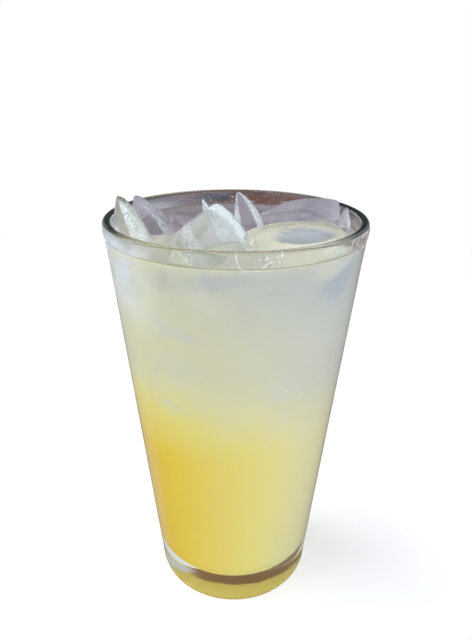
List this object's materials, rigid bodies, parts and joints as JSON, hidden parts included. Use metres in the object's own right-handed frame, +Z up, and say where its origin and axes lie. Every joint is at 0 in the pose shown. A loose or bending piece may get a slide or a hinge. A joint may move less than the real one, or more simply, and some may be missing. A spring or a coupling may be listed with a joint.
{
  "type": "glass of lemonade",
  "caption": "Tall tapered drinking glass of cloudy yellow lemonade, filled nearly to the rim, with half-moon ice standing out of the drink.",
  "frame": {"origin": "centre of the foot, on the surface that the glass stands on", "axes": "+Z up along the glass's axis; the ice slab that lies level against the wall is at the front right, and the front faces -Y"},
  "size_m": [0.0892, 0.0892, 0.1574],
  "materials": {
    "glass": "clear polished glass, faintly green at the rim",
    "drink": "cloudy drink, golden yellow at the foot and pale grey-white at the top",
    "ice": "wet clear ice with a cloudy middle"
  },
  "bodies": {
    "root": {"glass": "glass", "drink": "drink", "ice_left_fin": "ice", "ice_back_left": "ice", "ice_back_middle": "ice", "ice_centre": "ice", "ice_tall": "ice", "ice_right_front": "ice", "ice_right_back": "ice", "ice_right_edge": "ice", "ice_chip": "ice"}
  },
  "joints": []
}
